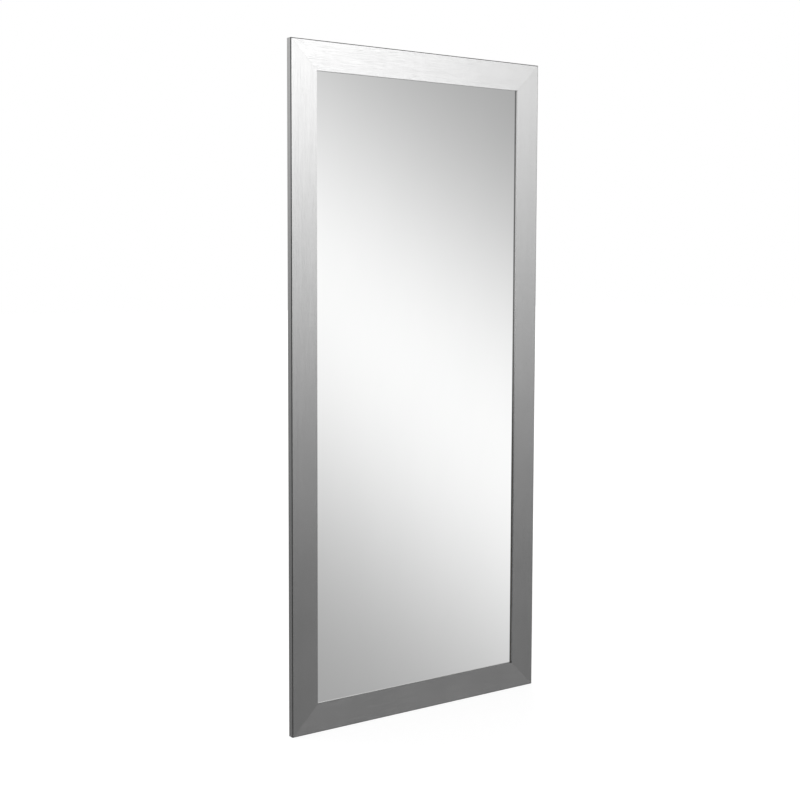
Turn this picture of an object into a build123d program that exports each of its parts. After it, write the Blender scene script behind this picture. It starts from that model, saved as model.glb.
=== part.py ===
"""Full-length wall mirror.

A silvered glass pane sits in a flat, mitred frame of fibreboard bars clad in brushed metal.
Behind the glass lie a safety film, a foam sheet and a hardboard back, held by screwed clips.
Corner plates, rubber bumpers and four ring hangers are screwed to the back of the frame.

X runs to the right as the mirror is looked at, Y towards the wall and Z up. The origin is the
middle of the mirror on the plane of the wall, where the bumpers rest. Sizes are in millimetres.
"""
from build123d import *
import os

# The frame
frame_w = 812.8  # overall width
frame_h = 1803.4  # overall height
face_w = 76.2  # width of the flat face of each side
bar_d = 19.05  # depth of the frame from its face to its back
lip_d = 5.0  # from the face to the rear of the lip over the glass
rebate_w = 9.5  # width of the rebate behind the lip
skin_t = 0.8  # thickness of the metal cladding
arris_bend = 1.7  # inside radius of the cladding at the outer arris
sight_bend = 0.4  # inside radius of the cladding beside the glass
skin_gap = 0.16  # hairline between two claddings at a mitre

# The pane and the layers behind it
glass_t = 4.0  # thickness of the glass
glass_gap = 2.0  # room between the edge of the glass and the rebate
tape_t = 0.8  # thickness of the tape between lip and glass
tape_setback = 2.5  # how far the tape stays back from the edge in view
film_t = 0.2  # safety film on the back of the glass
foam_t = 1.0  # foam sheet
board_t = 3.2  # hardboard back
block_l = 50.0  # length of a rubber edge block
block_inset = 110.0  # from a corner of the glass to the middle of a block

# The pan head wood screw used throughout
screw_l = 12.0  # length under the head
screw_r = 1.75  # radius of the shank
screw_tip = 3.5  # length of the point
head_r = 3.5  # radius of the head
head_h = 2.3  # height of the head
rim_h = 0.9  # height of the head's straight rim
recess_w = 0.9  # width of the arms of the cross recess
recess_r = 2.0  # reach of those arms
recess_d = 1.3  # depth of the recess
pilot_play = 0.05  # room round the shank in the wood
hole_play = 0.3  # room round the shank in the hardware

# Corner joints
nail_leg = 7.0  # length of each leg of a V-shaped corner nail
nail_t = 0.5  # thickness of its steel
nail_h = 10.0  # its length into the wood
nail_sink = 1.0  # how deep it is set below the back
nail_play = 0.05  # room round it
nail_outer = 11.0  # from the outer edges to the outer nail of a corner
nail_inner = 7.5  # from the rebate to the legs of the inner nail
plate_leg = 76.0  # length of each leg of a corner plate
plate_w = 16.0  # width of each leg
plate_t = 2.0  # thickness of the plate
plate_round = 2.5  # radius of the plate's corners
plate_holes = (34.0, 66.0)  # from the plate's outer corner to its holes

# Clips that hold the back in
clip_w = 16.0  # width of a clip
clip_t = 1.2  # thickness of its steel
clip_foot = 15.0  # how far its foot reaches over the frame
clip_toe = 12.0  # how far its toe reaches over the board
clip_play = 0.3  # room between the clip and the wall of the rebate
clip_inset = 140.0  # from the end of the rebate to the first clip
clips_on_stile = 5
clips_on_rail = 2

# Bumpers
bumper_h = 6.35  # height, which is the gap between frame and wall
bumper_r = 8.0  # radius where it meets the frame
bumper_top_r = 7.0  # radius where it meets the wall
bumper_floor = 2.0  # rubber left under the screw head
well_play = 0.5  # room round the screw head in its well
bumper_clear = 17.0  # from the end of a corner plate to a bumper

# Ring hangers
wire_r = 1.5  # radius of the ring's wire
ring_corner = 3.5  # radius at the two corners of the ring
ring_arm = 0.5  # straight arm between each corner and the bow
ring_side_play = 1.0  # room for the strap between the ring's corners, each side
eye_play = 0.08  # running clearance of the wire in its eye
eye_seam = 0.4  # slit where the rolled end of the strap comes back to it
ring_lift = 0.3  # room between the ring lying down and the strap
strap_w = 14.0  # width of the strap
strap_t = 1.2  # thickness of the strap
strap_pitch = 14.0  # between its two screws
strap_clear = 1.0  # room between the ring lying down and the first screw head
hanger_drop = 225.0  # top of the frame to the pivots of the upright pair
side_hanger_edge = 4.0  # from the rebate to the end of a sideways strap

# Places through the depth, counted from the wall
TO_WALL = Vector(0, 1, 0)
back_y = -bumper_h
face_y = back_y - bar_d
lip_y = face_y + lip_d
glass_y = lip_y + tape_t
film_y = glass_y + glass_t
foam_y = film_y + film_t
board_y = foam_y + foam_t
board_back_y = board_y + board_t

# Places across a side, counted inward from its outer edge
rebate_u = face_w - rebate_w
glass_u = rebate_u + glass_gap
back_mid_u = rebate_u / 2
nail_places = (nail_outer, rebate_u - nail_inner - nail_leg)
plate_inset = back_mid_u - plate_w / 2
clip_screw_u = rebate_u - clip_foot / 2

# The ring and its strap, with lengths counted from the pivot
ring_half_w = strap_w / 2 + ring_side_play + ring_corner
bow_start = ring_corner + ring_arm
ring_reach = bow_start + ring_half_w + wire_r
first_strap_hole = ring_reach + strap_clear + head_r
strap_holes = (first_strap_hole, first_strap_hole + strap_pitch)
strap_l = strap_holes[1] + strap_w / 2
pivot_h = strap_t + ring_lift + wire_r
eye_r = wire_r + eye_play + strap_t


class Side:
    """One of the four sides of the frame, and the planes that its pieces are set out on."""

    def __init__(self, inward, length, reach, clip_count):
        self.inward = Vector(*inward)
        self.along = self.inward.cross(TO_WALL)
        self.edge = self.inward * -reach
        self.length = length
        self.clip_count = clip_count

    def section(self):
        """Across the side: x inward from the outer edge, y towards the wall."""
        return Plane(origin=self.edge, x_dir=self.inward, z_dir=self.along)

    def back(self, y=back_y):
        """Facing the wall: x along the side, y inward from the outer edge."""
        return Plane(origin=self.edge + TO_WALL * y, x_dir=self.along, z_dir=TO_WALL)

    def far_corner(self):
        """The outer corner at the far end, facing the wall, with both axes running inward."""
        corner = self.edge + self.along * (self.length / 2) + TO_WALL * back_y
        return Plane(origin=corner, x_dir=self.inward, z_dir=TO_WALL)

    def near_corner(self):
        """The outer corner at the near end, in the same way."""
        corner = self.edge - self.along * (self.length / 2) + TO_WALL * back_y
        return Plane(origin=corner, x_dir=self.along, z_dir=TO_WALL)

    def mitre(self, end, gap):
        """The 45 degree cut at one end, drawn back by half of the gap left at the joint."""
        cut_way = (self.along * end + self.inward).normalized()
        corner = self.edge + self.along * (end * self.length / 2)
        return Plane(origin=corner - cut_way * (gap / 2), z_dir=cut_way)

    def clip_steps(self):
        """Where the clips stand along the side, at equal steps about its middle."""
        span = self.length - 2 * (rebate_u + clip_inset)
        step = span / (self.clip_count - 1)
        return [index * step - span / 2 for index in range(self.clip_count)]

    def clip_places(self, u):
        """The clips' places on the back of the side, at a distance in from the outer edge."""
        return [(s, u) for s in self.clip_steps()]

    def block_places(self):
        """The two edge blocks between the rebate and the glass."""
        s = self.length / 2 - glass_u - block_inset
        return [(-s, rebate_u + glass_gap / 2), (s, rebate_u + glass_gap / 2)]

    def plate_screw_places(self):
        """The screws of the corner plates at both ends that go into this side."""
        from_middle = [self.length / 2 - plate_inset - hole for hole in plate_holes]
        return [(end * s, back_mid_u) for end in (1, -1) for s in from_middle]


left_stile = Side((1, 0, 0), frame_h, frame_w / 2, clips_on_stile)
right_stile = Side((-1, 0, 0), frame_h, frame_w / 2, clips_on_stile)
top_rail = Side((0, 0, -1), frame_w, frame_h / 2, clips_on_rail)
bottom_rail = Side((0, 0, 1), frame_w, frame_h / 2, clips_on_rail)
sides = {
    "left_stile": left_stile,
    "right_stile": right_stile,
    "top_rail": top_rail,
    "bottom_rail": bottom_rail,
}
corners = {
    "top_left": left_stile.far_corner(),
    "top_right": top_rail.far_corner(),
    "bottom_right": right_stile.far_corner(),
    "bottom_left": bottom_rail.far_corner(),
}

# The bumpers stand on the stiles, just past the corner plates
bumper_s = frame_h / 2 - (plate_inset + plate_leg + bumper_clear + bumper_r)
bumpers = {
    "top_left": (left_stile, bumper_s),
    "bottom_left": (left_stile, -bumper_s),
    "top_right": (right_stile, -bumper_s),
    "bottom_right": (right_stile, bumper_s),
}

# Planes of the hangers: the origin lies on the back of the frame under the pivot, y points the
# way that the ring is pulled and z towards the wall. The sideways pair stands midway between
# the last two clips at each end of the right stile.
upright_x = frame_w / 2 - back_mid_u
upright_z = frame_h / 2 - hanger_drop
sideways_x = frame_w / 2 - (rebate_u - side_hanger_edge - strap_l)
sideways_z = sum(right_stile.clip_steps()[-2:]) / 2
hangers = {
    "left_hanger": Plane((-upright_x, back_y, upright_z), x_dir=(-1, 0, 0), z_dir=TO_WALL),
    "right_hanger": Plane((upright_x, back_y, upright_z), x_dir=(-1, 0, 0), z_dir=TO_WALL),
    "upper_side_hanger": Plane((sideways_x, back_y, sideways_z), x_dir=(0, 0, 1), z_dir=TO_WALL),
    "lower_side_hanger": Plane((sideways_x, back_y, -sideways_z), x_dir=(0, 0, 1), z_dir=TO_WALL),
}
hangers_on_side = {
    "left_stile": ["left_hanger"],
    "right_stile": ["right_hanger", "upper_side_hanger", "lower_side_hanger"],
    "top_rail": [],
    "bottom_rail": [],
}
strap_screw_places = [(0, -hole) for hole in strap_holes]
plate_reaches = [plate_inset + hole for hole in plate_holes]
plate_screw_places = [(reach, back_mid_u) for reach in plate_reaches]
plate_screw_places += [(back_mid_u, reach) for reach in plate_reaches]


def write(piece, name):
    """Labels a finished piece and writes it to a STEP file of its own."""
    piece.part.label = name
    export_step(piece.part, f"parts/{name}.step")


def set_out(piece, plane, places, height=0):
    """Copies of one piece at places on a plane, raised above it by a height."""
    with BuildPart(plane) as group:
        with Locations(*[(x, y, height) for x, y in places]):
            add(piece.part)
    return group


def bar_outline(inset):
    """Section of a clad bar, with its three clad faces drawn in by the inset."""
    with BuildSketch() as outline:
        with BuildLine():
            Polyline(
                (inset, back_y),
                (inset, face_y + inset),
                (face_w - inset, face_y + inset),
                (face_w - inset, lip_y),
                (rebate_u, lip_y),
                (rebate_u, back_y),
                close=True,
            )
        make_face()
        outer, inner = outline.vertices().group_by(Axis.Y)[0].sort_by(Axis.X)
        fillet(outer, skin_t - inset + arris_bend)
        fillet(inner, skin_t - inset + sight_bend)
    return outline.sketch


def nail_outline(play):
    """Plan of the V-shaped nails of a corner, widened all round by the play."""
    near = -nail_t / 2 - play
    leg = nail_leg + nail_t / 2 + 2 * play
    steel = nail_t + 2 * play
    with BuildSketch() as outline:
        with Locations(*[(place + near, place + near) for place in nail_places]):
            Rectangle(leg, steel, align=(Align.MIN, Align.MIN))
            Rectangle(steel, leg, align=(Align.MIN, Align.MIN))
    return outline.sketch


# The bars, their cladding and the tape behind the lip
def build_core(side, hanger_planes, bumper_places):
    """A fibreboard bar with its rebate, mitred ends, nail slots and pilot holes."""
    pilot_r = screw_r + pilot_play
    with BuildPart(side.back()) as core:
        with BuildSketch(side.section()):
            add(bar_outline(skin_t))
        extrude(amount=side.length / 2, both=True)
        for end in (1, -1):
            split(bisect_by=side.mitre(end, 0), keep=Keep.BOTTOM)
        for corner_plane in (side.far_corner(), side.near_corner()):
            with BuildSketch(corner_plane):
                add(nail_outline(nail_play))
            extrude(amount=-(nail_sink + nail_h), mode=Mode.SUBTRACT)
        with Locations(*side.plate_screw_places(), *side.clip_places(clip_screw_u), *bumper_places):
            Hole(pilot_r, depth=screw_l)
        for hanger_plane in hanger_planes:
            with BuildSketch(hanger_plane):
                with Locations(*strap_screw_places):
                    Circle(pilot_r)
            extrude(amount=-screw_l, mode=Mode.SUBTRACT)
    return core


def build_skin(side):
    """The brushed metal folded over a bar: outer edge, face and the edge beside the glass."""
    with BuildPart() as skin:
        with BuildSketch(side.section()):
            add(bar_outline(0))
            add(bar_outline(skin_t), mode=Mode.SUBTRACT)
        extrude(amount=side.length / 2, both=True)
        for end in (1, -1):
            split(bisect_by=side.mitre(end, skin_gap), keep=Keep.BOTTOM)
    return skin


def build_tape(side):
    """The strip of tape between the lip and the front of the glass."""
    tape_w = face_w - tape_setback - glass_u
    with BuildPart() as tape:
        with BuildSketch(side.section()):
            with Locations((glass_u, lip_y)):
                Rectangle(tape_w, tape_t, align=(Align.MIN, Align.MIN))
        extrude(amount=side.length / 2, both=True)
        for end in (1, -1):
            split(bisect_by=side.mitre(end, 0), keep=Keep.BOTTOM)
    return tape


# The pane and the layers behind it
def build_sheet(front_y, thickness):
    """A flat sheet of the size of the glass, from its front towards the wall."""
    with BuildPart() as sheet:
        with BuildSketch(Plane(origin=(0, front_y, 0), x_dir=(0, 0, 1), z_dir=TO_WALL)):
            Rectangle(frame_h - 2 * glass_u, frame_w - 2 * glass_u)
        extrude(amount=thickness)
    return sheet


def build_blocks(side):
    """The two rubber blocks between the edge of the glass and the rebate."""
    with BuildPart() as blocks:
        with BuildSketch(side.back(glass_y)):
            with Locations(*side.block_places()):
                Rectangle(block_l, glass_gap)
        extrude(amount=glass_t)
    return blocks


# Fasteners and hardware, each drawn once with z running out of the wood
def build_screw():
    """A pan head screw with a cross recess, whose head seats at height 0."""
    dome_h = head_h - rim_h
    dome_r = (head_r**2 + dome_h**2) / (2 * dome_h)
    tip_start = screw_tip - screw_l
    with BuildPart() as screw:
        with BuildSketch(Plane.XZ):
            with BuildLine():
                Polyline((0, -screw_l), (screw_r, tip_start), (screw_r, 0), (head_r, 0), (head_r, rim_h))
                RadiusArc((head_r, rim_h), (0, head_h), -dome_r)
                Line((0, head_h), (0, -screw_l))
            make_face()
        revolve(axis=Axis.Z)
        with BuildSketch(Plane.XY.offset(head_h)):
            Rectangle(2 * recess_r, recess_w)
            Rectangle(recess_w, 2 * recess_r)
        extrude(amount=-recess_d, mode=Mode.SUBTRACT)
    return screw


def build_nails(corner_plane):
    """The V-shaped nails of one corner, set below the back of the frame."""
    with BuildPart() as nails:
        with BuildSketch(corner_plane.offset(-nail_sink)):
            add(nail_outline(0))
        extrude(amount=-nail_h)
    return nails


def build_plate():
    """A flat L-shaped steel plate, in the axes of a corner of the frame."""
    outer = plate_inset
    inner = plate_inset + plate_w
    tip = plate_inset + plate_leg
    with BuildPart() as plate:
        with BuildSketch() as blank:
            with BuildLine():
                Polyline(
                    (outer, outer),
                    (tip, outer),
                    (tip, inner),
                    (inner, inner),
                    (inner, tip),
                    (outer, tip),
                    close=True,
                )
            make_face()
            fillet(blank.vertices(), plate_round)
            with Locations(*plate_screw_places):
                Circle(screw_r + hole_play, mode=Mode.SUBTRACT)
        extrude(amount=plate_t)
    return plate


def build_clip():
    """A bent clip: y runs inward from the wall of the rebate, and the toe meets the hardboard."""
    toe_z = board_back_y - back_y
    web_far = clip_play + clip_t
    inner_bend = min(clip_play, -toe_z / 4)
    outer_bend = min(inner_bend + clip_t, -toe_z / 2)
    with BuildPart() as clip:
        with BuildSketch(Plane.YZ) as profile:
            with BuildLine():
                Polyline(
                    (-clip_foot, 0),
                    (clip_play, 0),
                    (clip_play, toe_z),
                    (clip_play + clip_toe, toe_z),
                    (clip_play + clip_toe, toe_z + clip_t),
                    (web_far, toe_z + clip_t),
                    (web_far, clip_t),
                    (-clip_foot, clip_t),
                    close=True,
                )
            make_face()
            near_side = profile.vertices().group_by(Axis.X)[1].sort_by(Axis.Y)
            far_side = profile.vertices().group_by(Axis.X)[2].sort_by(Axis.Y)
            fillet((near_side[1], far_side[0]), inner_bend)
            near_side = profile.vertices().group_by(Axis.Y)[0].sort_by(Axis.X)
            far_side = profile.vertices().group_by(Axis.Y)[-1].sort_by(Axis.X)
            fillet((near_side[0], far_side[-1]), outer_bend)
        extrude(amount=clip_w / 2, both=True)
        with Locations((0, -clip_foot / 2, clip_t)):
            Hole(screw_r + hole_play, depth=clip_t)
    return clip


def build_bumper():
    """A tapered rubber bumper with a well for its screw."""
    with BuildPart() as bumper:
        Cone(bumper_r, bumper_top_r, bumper_h, align=(Align.CENTER, Align.CENTER, Align.MIN))
        with Locations((0, 0, bumper_h)):
            CounterBoreHole(screw_r + hole_play, head_r + well_play, bumper_h - bumper_floor)
    return bumper


def build_strap():
    """The strap of a hanger: a flat strip whose end is rolled into an eye for the ring."""
    with BuildPart() as strap:
        with BuildSketch():
            with BuildLine():
                tip_start = strap_w / 2 - strap_l
                Polyline((-strap_w / 2, tip_start), (-strap_w / 2, 0), (strap_w / 2, 0), (strap_w / 2, tip_start))
                ThreePointArc((strap_w / 2, tip_start), (0, -strap_l), (-strap_w / 2, tip_start))
            make_face()
            with Locations(*strap_screw_places):
                Circle(screw_r + hole_play, mode=Mode.SUBTRACT)
        extrude(amount=strap_t)
        with BuildSketch(Plane.YZ):
            with Locations((0, pivot_h)):
                Circle(eye_r)
                Circle(eye_r - strap_t, mode=Mode.SUBTRACT)
            with Locations((0, strap_t)):
                Rectangle(eye_r, eye_seam, align=(Align.MAX, Align.MIN), mode=Mode.SUBTRACT)
        extrude(amount=strap_w / 2, both=True)
    return strap


def build_ring():
    """The D-shaped wire ring, lying down over its strap with its bar through the eye."""
    bar_end = ring_half_w - ring_corner
    bow_end = -bow_start - ring_half_w
    with BuildPart() as ring:
        with BuildLine(Plane.XY.offset(pivot_h)) as centre_line:
            Line((-bar_end, 0), (bar_end, 0))
            RadiusArc((bar_end, 0), (ring_half_w, -ring_corner), ring_corner)
            Line((ring_half_w, -ring_corner), (ring_half_w, -bow_start))
            ThreePointArc((ring_half_w, -bow_start), (0, bow_end), (-ring_half_w, -bow_start))
            Line((-ring_half_w, -bow_start), (-ring_half_w, -ring_corner))
            RadiusArc((-ring_half_w, -ring_corner), (-bar_end, 0), ring_corner)
        with BuildSketch(Plane.YZ.offset(-bar_end)):
            with Locations((0, pivot_h)):
                Circle(wire_r)
        sweep(path=centre_line.wire())
    return ring


os.makedirs("parts", exist_ok=True)

screw = build_screw()
clip = build_clip()
for name, side in sides.items():
    hanger_planes = [hangers[hanger] for hanger in hangers_on_side[name]]
    bumper_places = [(s, back_mid_u) for stile, s in bumpers.values() if stile is side]
    write(build_core(side, hanger_planes, bumper_places), f"{name}_core")
    write(build_skin(side), f"{name}_skin")
    write(build_tape(side), f"{name}_glazing_tape")
    write(build_blocks(side), f"{name}_edge_blocks")
    write(set_out(clip, side.back(), side.clip_places(rebate_u)), f"{name}_clips")
    write(set_out(screw, side.back(), side.clip_places(clip_screw_u), clip_t), f"{name}_clip_screws")

write(build_sheet(glass_y, glass_t), "mirror_glass")
write(build_sheet(film_y, film_t), "safety_film")
write(build_sheet(foam_y, foam_t), "foam_sheet")
write(build_sheet(board_y, board_t), "backing_board")

plate = build_plate()
for name, corner_plane in corners.items():
    write(build_nails(corner_plane), f"{name}_corner_nails")
    write(set_out(plate, corner_plane, [(0, 0)]), f"{name}_corner_plate")
    write(set_out(screw, corner_plane, plate_screw_places, plate_t), f"{name}_plate_screws")

bumper = build_bumper()
for name, (stile, s) in bumpers.items():
    write(set_out(bumper, stile.back(), [(s, back_mid_u)]), f"{name}_bumper")
for name, stile in (("left_stile", left_stile), ("right_stile", right_stile)):
    places = [(-bumper_s, back_mid_u), (bumper_s, back_mid_u)]
    write(set_out(screw, stile.back(), places, bumper_floor), f"{name}_bumper_screws")

strap = build_strap()
ring = build_ring()
for name, plane in hangers.items():
    write(set_out(strap, plane, [(0, 0)]), f"{name}_strap")
    write(set_out(ring, plane, [(0, 0)]), f"{name}_ring")
    write(set_out(screw, plane, strap_screw_places, strap_t), f"{name}_screws")
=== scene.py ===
"""Looks for a full-length wall mirror: finishes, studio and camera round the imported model.

X runs to the right as the mirror is looked at, Y towards the wall and Z up. The origin is the
middle of the mirror on the plane of the wall. Everything is in metres.
"""
import math

import bmesh
import bpy
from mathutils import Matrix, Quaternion, Vector


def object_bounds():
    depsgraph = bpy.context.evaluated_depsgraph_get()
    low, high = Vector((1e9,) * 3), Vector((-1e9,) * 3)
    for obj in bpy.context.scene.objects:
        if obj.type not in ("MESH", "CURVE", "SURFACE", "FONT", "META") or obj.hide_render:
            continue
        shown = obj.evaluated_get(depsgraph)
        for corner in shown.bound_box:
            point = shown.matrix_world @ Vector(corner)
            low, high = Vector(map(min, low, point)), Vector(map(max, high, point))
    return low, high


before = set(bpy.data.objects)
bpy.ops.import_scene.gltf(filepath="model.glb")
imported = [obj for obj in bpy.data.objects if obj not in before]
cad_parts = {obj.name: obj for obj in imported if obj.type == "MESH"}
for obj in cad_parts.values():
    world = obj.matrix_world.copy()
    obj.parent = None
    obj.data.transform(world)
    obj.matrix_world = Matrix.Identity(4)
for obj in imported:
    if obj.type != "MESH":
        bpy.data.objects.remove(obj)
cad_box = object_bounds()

# Camera, fitted to the photograph
CAMERA_TARGET = (-0.0616, -0.0127, 0.0535)
CAMERA_AZIMUTH = -34.518
CAMERA_ELEVATION = 4.357
CAMERA_ROLL = 0.18
CAMERA_DISTANCE = 3.5735
CAMERA_LENS = 59.26
CAMERA_SHIFT = -0.04

# Edges of the frame, and the painted reflection and shade that follow them
HALF_WIDTH, HALF_HEIGHT = 0.4064, 0.9017
FACE_WIDTH = 0.0762
FRONT = -0.0254
SIDE_SHADE_LINE = (-0.0018, -0.0012)  # the painted dark reflection on the arris starts and is full at these places
END_SHADE_LINE = (-0.0026, -0.002)  # the same at the top and the bottom
SHADE_LINE_DEPTH = (0.0022, 0.0014)  # and behind the front
SIGHT_EDGE_SHADE = (0.0002, 0.0)  # the painted shade on the edge beside the glass
SIGHT_EDGE_SHADE_RISE = (0.3, -0.3)  # heights between which the painted shade grows, darker towards the bottom

# Floor
FLOOR_HALF = 30.0
FLOOR_PALE, FLOOR_SHADE = 0.86, 0.84
WHITE_FROM, WHITE_TO = 1.2, 2.6  # the floor turns to plain white between these distances
WHITE_NEAR = 0.66  # share of plain white in the floor near the mirror
WHITE_STRENGTH = 1.16

# Studio
AMBIENT = 0.55  # what diffuse surfaces gather from all round

# What the pane sees: a wave of light along SWEEP_AXIS, as a polynomial in its cosine
SWEEP_AXIS = (0.5639, 0.2700, 0.7805)
SWEEP_START = 0.0421
SWEEP_PERIOD = 0.5586
SWEEP_MEAN, SWEEP_SWING, SWEEP_PEAK = 0.6349, 0.324, 0.0731

# What rough metal sees: soft patches of light by azimuth, elevation, tightness and level
METAL_PATCHES = [
    (26, 16, 40.0, 1.52),
    (36, 8, 24.0, 0.77),
    (8, 20, 24.0, 0.9),
    (62, -38, 14.0, 0.27),
    (0, 90, 3.0, 0.2),
    (0, -90, 5.0, 0.12),
    (170, 35, 3.0, 0.22),
    (-145, 16, 24.0, 0.72),
    (30, -50, 14.0, 0.54),
    (-60, 30, 5.0, 0.35),
    (-70, -20, 5.0, 0.24),
    (-12, -16, 12.0, 0.2),
    (115, 0, 6.0, 0.4),
    (180, -8, 20.0, 0.4),
    (-150, -45, 8.0, 0.08),
    (178, -34, 20.0, 0.75),
]

# Lamps for what isn't metal: azimuth, elevation, distance, size and watts
LAMPS = {
    "key_lamp": (-50, 42, 4.0, 2.4, 75),
    "fill_lamp": (50, 25, 4.5, 2.6, 35),
    "back_key_lamp": (150, 40, 4.0, 2.4, 65),
    "back_fill_lamp": (-140, 20, 4.5, 2.6, 35),
}


def direction(azimuth, elevation):
    """A way in the studio: azimuth 0 is straight out of the mirror, and 90 is to its right."""
    a, e = math.radians(azimuth), math.radians(elevation)
    return Vector((math.sin(a) * math.cos(e), -math.cos(a) * math.cos(e), math.sin(e)))


class Value:
    """A number in a shader. The operators of Python add the Math nodes that it needs."""

    def __init__(self, shader, socket):
        self.shader, self.socket = shader, socket

    def math(self, operation, *others):
        inputs = dict(enumerate((self, *others)))
        return self.shader.node("ShaderNodeMath", {"operation": operation}, inputs)

    def __add__(self, other):
        return self.math("ADD", other)

    def __sub__(self, other):
        return self.math("SUBTRACT", other)

    def __mul__(self, other):
        return self.math("MULTIPLY", other)

    def __rsub__(self, other):
        return self.shader.node("ShaderNodeMath", {"operation": "SUBTRACT"}, {0: other, 1: self})

    __radd__, __rmul__ = __add__, __mul__

    def step(self, start, end):
        """A smooth step from 0 at start to 1 at end, which may be the lower of the two."""
        settings = {"interpolation_type": "SMOOTHSTEP"}
        return self.shader.node("ShaderNodeMapRange", settings, {0: self, 1: start, 2: end})


class Shader:
    """The node tree of a material or of the world."""

    def __init__(self, owner, output):
        owner.use_nodes = True
        self.tree = owner.node_tree
        self.tree.nodes.clear()
        self.output = self.tree.nodes.new(output)

    def node(self, kind, settings=None, inputs=None, out=0):
        """Adds a node, sets it up, fills its sockets and gives one of its outputs."""
        node = self.tree.nodes.new(kind)
        for name, setting in (settings or {}).items():
            setattr(node, name, setting)
        for key, value in (inputs or {}).items():
            self.fill(self.find(node.inputs, key), value)
        return Value(self, self.find(node.outputs, out))

    @staticmethod
    def find(sockets, key):
        """A socket by its place, or the first one in use that has the name."""
        if isinstance(key, int):
            return sockets[key]
        return next(s for s in sockets if s.enabled and s.name == key)

    def fill(self, socket, value):
        """Links a value to a socket, or sets the socket to a plain one."""
        if isinstance(value, Value):
            self.tree.links.new(value.socket, socket)
        elif socket.type == "RGBA":
            socket.default_value = (*value, 1)
        else:
            socket.default_value = value

    def finish(self, surface):
        self.tree.links.new(surface.socket, self.output.inputs["Surface"])

    # Patterns and mixes that the finishes share
    def spot(self):
        """The shaded point in the object's own coordinates."""
        return self.node("ShaderNodeTexCoord", out="Object")

    def along(self, axis):
        """How far the shaded point is along one axis."""
        return self.node("ShaderNodeSeparateXYZ", {}, {0: self.spot()}, axis)

    def noise(self, scale, detail=2.0, roughness=0.5, distortion=0.0):
        """Noise from 0 to 1 whose grains are 1 / scale metres along each axis."""
        inputs = {
            "Vector": self.stretch(scale),
            "Scale": 1.0,
            "Detail": detail,
            "Roughness": roughness,
            "Distortion": distortion,
        }
        return self.node("ShaderNodeTexNoise", {}, inputs)

    def stretch(self, scale):
        return self.node("ShaderNodeMapping", {}, {"Vector": self.spot(), "Scale": scale})

    def cells(self, scale):
        """Distance from the middles of cells that are 1 / scale metres along each axis."""
        inputs = {"Vector": self.stretch(scale), "Scale": 1.0}
        return self.node("ShaderNodeTexVoronoi", {}, inputs, "Distance")

    def ribs(self, axis, scale, distortion=0.0, detail=2.0):
        """Even waves across one axis."""
        inputs = {
            "Vector": self.stretch((1, 1, 1)),
            "Scale": scale,
            "Distortion": distortion,
            "Detail": detail,
        }
        return self.node("ShaderNodeTexWave", {"bands_direction": axis}, inputs)

    def mix(self, factor, first, second):
        inputs = {"Factor": factor, "A": first, "B": second}
        return self.node("ShaderNodeMix", {"data_type": "RGBA"}, inputs, "Result")

    def bump(self, height, distance):
        inputs = {"Height": height, "Distance": distance, "Strength": 1.0}
        return self.node("ShaderNodeBump", {}, inputs)

    def dot(self, first, second):
        inputs = {0: first, 1: second}
        return self.node("ShaderNodeVectorMath", {"operation": "DOT_PRODUCT"}, inputs, "Value")

    def ray_is(self, kind):
        return self.node("ShaderNodeLightPath", out=f"Is {kind} Ray")

    def principled(self, **sockets):
        """The surface itself: a socket's name is written in lower case with underscores."""
        inputs = {name.replace("_", " ").title(): value for name, value in sockets.items()}
        self.finish(self.node("ShaderNodeBsdfPrincipled", {}, inputs))


def new_finish(name):
    """A new material and its shader."""
    material = bpy.data.materials.new(name)
    return material, Shader(material, "ShaderNodeOutputMaterial")


def grey(level):
    return (level, level, level)


def brushed_nickel(name, grain, dull, bright, scratch_depth):
    """Brushed metal whose grain runs along X or Z, with a dark line of painted reflection on the
    outer arris and painted shade on the sight edge beside the glass.
    """
    def stretched(across, along):
        return (along, across, across) if grain == "X" else (across, across, along)

    material, s = new_finish(name)
    scratches = s.noise(stretched(2600, 14), 3, 0.6)
    lines = s.noise(stretched(420, 2.2), 2, 0.5)
    bands = s.noise(stretched(60, 0.9), 2, 0.5)
    clouds = s.noise((5, 5, 5), 3, 0.55)
    tone = scratches * 0.45 + lines * 0.2 + bands * 0.15 + clouds * 0.2
    colour = s.mix(tone.step(0.3, 0.7), grey(dull), grey(bright))

    # A dark line of painted reflection on the outer arris, standing in for the dark surroundings
    # that the rounded edge mirrors
    across = s.along("X").math("ABSOLUTE") - HALF_WIDTH
    up = s.along("Z").math("ABSOLUTE") - HALF_HEIGHT
    outer = across.step(*SIDE_SHADE_LINE).math("MAXIMUM", up.step(*END_SHADE_LINE))
    arris = outer * (s.along("Y") - FRONT).step(*SHADE_LINE_DEPTH)
    colour = s.mix(arris * 0.95, colour, grey(0.06))
    # Painted shade on the sight edge beside the glass, darker towards the bottom
    sight_shade = (across + FACE_WIDTH).step(*SIGHT_EDGE_SHADE) * (up + FACE_WIDTH).step(*SIGHT_EDGE_SHADE)
    lower = s.along("Z").step(*SIGHT_EDGE_SHADE_RISE)
    colour = s.mix(sight_shade * lower * 0.9, colour, grey(0.26))
    s.principled(
        base_color=colour,
        metallic=1.0,
        roughness=scratches * 0.07 + clouds * 0.05 + 0.16,
        normal=s.bump(scratches, scratch_depth),
    )
    return material


def silvered_glass():
    """The pane: clean float glass over silver, all but even."""
    material, s = new_finish("silvered_glass")
    haze = s.noise((9, 9, 4), 4, 0.6).step(0.3, 0.75)
    specks = s.cells((160, 160, 160)).step(0.09, 0.03)
    colour = s.mix(haze * 0.5 + specks * 0.35, (0.93, 0.932, 0.93), (0.912, 0.916, 0.914))
    s.principled(base_color=colour, metallic=1.0, roughness=0.0)
    return material


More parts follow.
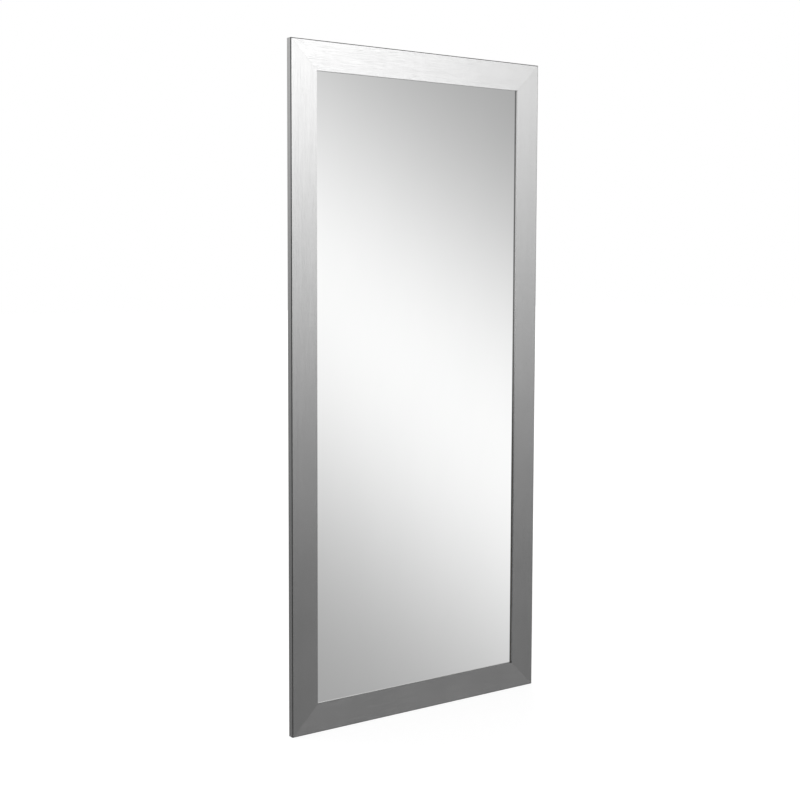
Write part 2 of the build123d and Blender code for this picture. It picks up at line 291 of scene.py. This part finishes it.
def fibreboard():
    """Raw fibreboard: pressed wood fibre with dark flecks and pale slivers."""
    material, s = new_finish("fibreboard")
    felt = s.noise((900, 900, 900), 4, 0.65)
    tufts = s.noise((330, 330, 330), 3, 0.6, 0.4)
    clouds = s.noise((14, 14, 14), 3, 0.5).step(0.35, 0.7)
    upright = s.noise((1700, 1700, 330), 2, 0.5).step(0.62, 0.72)
    level = s.noise((330, 1700, 1700), 2, 0.5).step(0.62, 0.72)
    slivers = s.noise((900, 900, 240), 2, 0.5, 0.8).step(0.68, 0.74)
    base = s.mix(tufts.step(0.3, 0.7), (0.39, 0.28, 0.175), (0.335, 0.235, 0.142))
    base = s.mix(clouds * 0.3, base, (0.43, 0.32, 0.205))
    base = s.mix((upright + level) * 0.4, base, (0.24, 0.155, 0.086))
    base = s.mix(slivers * 0.6, base, (0.52, 0.42, 0.30))
    s.principled(
        base_color=base,
        roughness=felt * 0.12 + 0.8,
        normal=s.bump(felt + tufts * 0.5, 0.00018),
    )
    return material


def hardboard():
    """Brown hardboard with the print of the wire screen on its rear."""
    material, s = new_finish("hardboard")
    flecks = s.noise((260, 90, 90), 4, 0.65, 0.6)
    chips = s.noise((420, 420, 150), 2, 0.5, 0.9).step(0.66, 0.74)
    clouds = s.noise((6, 6, 6), 3, 0.55).step(0.35, 0.7)
    screen = s.ribs("X", 210.0, 0.4, 1.0) * s.ribs("Z", 210.0, 0.4, 1.0)
    base = s.mix(flecks.step(0.3, 0.7), (0.165, 0.095, 0.055), (0.24, 0.15, 0.088))
    base = s.mix(clouds * 0.4, base, (0.14, 0.08, 0.046))
    base = s.mix(chips * 0.45, base, (0.33, 0.22, 0.13))
    base = s.mix(screen * 0.3, base, (0.11, 0.062, 0.036))
    s.principled(
        base_color=base,
        roughness=flecks * 0.15 + 0.6,
        normal=s.bump(flecks * 0.4 - screen, 0.0002),
    )
    return material


def plated_steel(name, light, dark, roughness, grains):
    """Zinc or nickel plate: cloudy, with a faint spangle and fine wipe marks."""
    material, s = new_finish(name)
    clouds = s.noise((grains, grains, grains), 3, 0.6)
    wipes = s.noise((grains * 9, grains * 2, grains * 9), 3, 0.6)
    spangle = s.cells((grains * 5, grains * 5, grains * 5)).step(0.2, 0.75)
    pits = s.cells((grains * 14, grains * 14, grains * 14)).step(0.16, 0.05)
    tone = clouds.step(0.35, 0.65) * 0.5 + wipes * 0.25 + spangle * 0.25
    colour = s.mix(pits * 0.5, s.mix(tone, light, dark), grey(0.3))
    s.principled(
        base_color=colour,
        metallic=1.0,
        roughness=clouds * 0.16 + wipes * 0.08 + spangle * 0.06 + roughness,
        normal=s.bump(wipes * 0.5 + clouds + spangle * 0.3, 0.00004),
    )
    return material


def black_rubber():
    """Moulded black rubber with a fine matt skin and a little dust."""
    material, s = new_finish("black_rubber")
    skin = s.noise((2400, 2400, 2400), 3, 0.6)
    dust = s.noise((220, 220, 220), 4, 0.7)
    s.principled(
        base_color=s.mix(dust.step(0.5, 0.8) * 0.35, grey(0.021), grey(0.085)),
        roughness=skin * 0.15 + dust * 0.15 + 0.5,
        normal=s.bump(skin, 0.00005),
    )
    return material


def cloth_tape():
    """Grey cloth tape with its weave."""
    material, s = new_finish("cloth_tape")
    weave = s.ribs("X", 380.0) * 0.5 + s.ribs("Z", 380.0) * 0.5
    fuzz = s.noise((900, 900, 900), 3, 0.6)
    s.principled(
        base_color=s.mix(weave * 0.6 + fuzz * 0.4, grey(0.10), grey(0.19)),
        roughness=0.85,
        normal=s.bump(weave + fuzz * 0.5, 0.0001),
    )
    return material


def film():
    """The safety film: milky plastic, faintly rippled."""
    material, s = new_finish("film")
    ripples = s.noise((30, 30, 8), 3, 0.5)
    specks = s.noise((800, 800, 800), 2, 0.5)
    s.principled(
        base_color=s.mix(ripples.step(0.3, 0.7), (0.62, 0.66, 0.69), (0.72, 0.75, 0.77)),
        roughness=specks * 0.15 + 0.3,
        normal=s.bump(ripples, 0.0004),
    )
    return material


def foam():
    """Closed-cell packing foam."""
    material, s = new_finish("foam")
    bubbles = s.cells((900, 900, 900))
    shade = s.noise((40, 40, 40), 2, 0.5)
    tone = bubbles.step(0.1, 0.7) * 0.6 + shade * 0.4
    s.principled(
        base_color=s.mix(tone, grey(0.86), grey(0.72)),
        roughness=0.8,
        normal=s.bump(bubbles, 0.00025),
    )
    return material


def studio_floor():
    """Plain and pale, with the mirror's shadow near it and white further off.

    Only the camera sees the white, and what reflects doesn't see the floor at all.
    """
    material, s = new_finish("studio_floor")
    flat = s.node("ShaderNodeVectorMath", {"operation": "MULTIPLY"}, {0: s.spot(), 1: (1, 1, 0)})
    away = s.node("ShaderNodeVectorMath", {"operation": "LENGTH"}, {0: flat}, "Value")
    tone = s.mix(s.noise((4, 4, 4), 3, 0.5), grey(FLOOR_PALE), grey(FLOOR_SHADE))
    plain = s.node("ShaderNodeBsdfDiffuse", {}, {"Color": tone})
    glow = {"Color": grey(1.0), "Strength": WHITE_STRENGTH}
    white = s.node("ShaderNodeEmission", {}, glow)
    share = away.step(WHITE_FROM, WHITE_TO) * (1 - WHITE_NEAR) + WHITE_NEAR
    lit = s.node("ShaderNodeMixShader", {}, {0: share, 1: plain, 2: white})
    shown = s.node("ShaderNodeMixShader", {}, {0: s.ray_is("Camera"), 1: plain, 2: lit})
    hidden = s.ray_is("Glossy").math("MAXIMUM", s.ray_is("Transmission"))
    clear = s.node("ShaderNodeBsdfTransparent")
    s.finish(s.node("ShaderNodeMixShader", {}, {0: hidden, 1: shown, 2: clear}))
    return material


# The rails' nickel is painted lighter than the uprights': painted light for the way brushed
# grain in each direction catches the light differently
upright_grain = brushed_nickel("brushed_nickel_upright", "Z", 0.64, 0.71, 0.0001)
level_grain = brushed_nickel("brushed_nickel_level", "X", 0.69, 0.76, 0.00014)
finishes = {
    "silvered_glass": silvered_glass(),
    "fibreboard": fibreboard(),
    "hardboard": hardboard(),
    "cloth_tape": cloth_tape(),
    "film": film(),
    "foam": foam(),
    "black_rubber": black_rubber(),
    "zinc_steel": plated_steel("zinc_steel", (0.74, 0.755, 0.77), (0.50, 0.515, 0.53), 0.22, 60),
    "screw_steel": plated_steel("screw_steel", (0.70, 0.70, 0.69), (0.55, 0.55, 0.54), 0.2, 240),
    "ring_wire": plated_steel("ring_wire", (0.72, 0.715, 0.70), (0.62, 0.615, 0.60), 0.12, 150),
}

# Every node keeps its CAD shape and gets the finish of the slot that it was packed with
for node_name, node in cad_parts.items():
    for slot in node.material_slots:
        slot_name = slot.material.name.split(".")[0]
        if slot_name == "brushed_nickel":
            slot.material = level_grain if "rail" in node_name else upright_grain
        else:
            slot.material = finishes[slot_name]

# The floor under the mirror
floor_z = cad_box[0][2]
sheet = bmesh.new()
bmesh.ops.create_grid(sheet, x_segments=1, y_segments=1, size=FLOOR_HALF)
bmesh.ops.translate(sheet, verts=sheet.verts, vec=(0, 0, floor_z))
floor_mesh = bpy.data.meshes.new("floor")
sheet.to_mesh(floor_mesh)
sheet.free()
floor_mesh.materials.append(studio_floor())
floor = bpy.data.objects.new("floor", floor_mesh)
bpy.context.scene.collection.objects.link(floor)

# The studio round the mirror: white to the eye, and soft light in what reflects. The pane is
# the only perfect mirror, so its rays are the singular ones.
world = bpy.data.worlds.new("studio")
bpy.context.scene.world = world
world.cycles.sampling_method = "NONE"
s = Shader(world, "ShaderNodeOutputWorld")
way = s.spot()
sweep = s.dot(way, SWEEP_AXIS).math("ARCSINE") - SWEEP_START
crest = (sweep * (2 * math.pi / SWEEP_PERIOD)).math("COSINE")
pane_view = (crest * SWEEP_PEAK + SWEEP_SWING) * crest + SWEEP_MEAN
metal_view = sum(
    ((s.dot(way, direction(azimuth, elevation)) - 1.0) * tightness).math("EXPONENT") * level
    for azimuth, elevation, tightness, level in METAL_PATCHES
)
singular, glossy = s.ray_is("Singular"), s.ray_is("Glossy")
reflected = pane_view * singular + metal_view * (1 - singular)
white = s.ray_is("Camera").math("MAXIMUM", s.ray_is("Transmission"))
strength = reflected * glossy + white * (1 - glossy) + (1 - glossy) * (1 - white) * AMBIENT
s.finish(s.node("ShaderNodeBackground", {}, {"Color": grey(1.0), "Strength": strength}))

for lamp_name, (azimuth, elevation, distance, size, watts) in LAMPS.items():
    lamp = bpy.data.lights.new(lamp_name, "AREA")
    lamp.shape = "DISK"
    lamp.size = size
    lamp.energy = watts
    holder = bpy.data.objects.new(lamp_name, lamp)
    bpy.context.scene.collection.objects.link(holder)
    way_out = direction(azimuth, elevation)
    holder.location = way_out * distance
    holder.rotation_mode = "QUATERNION"
    holder.rotation_quaternion = way_out.to_track_quat("Z", "Y")
    holder.visible_glossy = False

# The camera, at the photograph's viewing angle
camera_data = bpy.data.cameras.new("camera")
camera_data.lens = CAMERA_LENS
camera_data.shift_y = CAMERA_SHIFT
camera = bpy.data.objects.new("camera", camera_data)
bpy.context.scene.collection.objects.link(camera)
camera_back = direction(CAMERA_AZIMUTH, CAMERA_ELEVATION)
camera.location = Vector(CAMERA_TARGET) + camera_back * CAMERA_DISTANCE
camera.rotation_mode = "QUATERNION"
level_view = (-camera_back).to_track_quat("-Z", "Y")
camera.rotation_quaternion = level_view @ Quaternion((0, 0, 1), math.radians(CAMERA_ROLL))
bpy.context.scene.camera = camera
bpy.context.scene.view_settings.view_transform = "Standard"
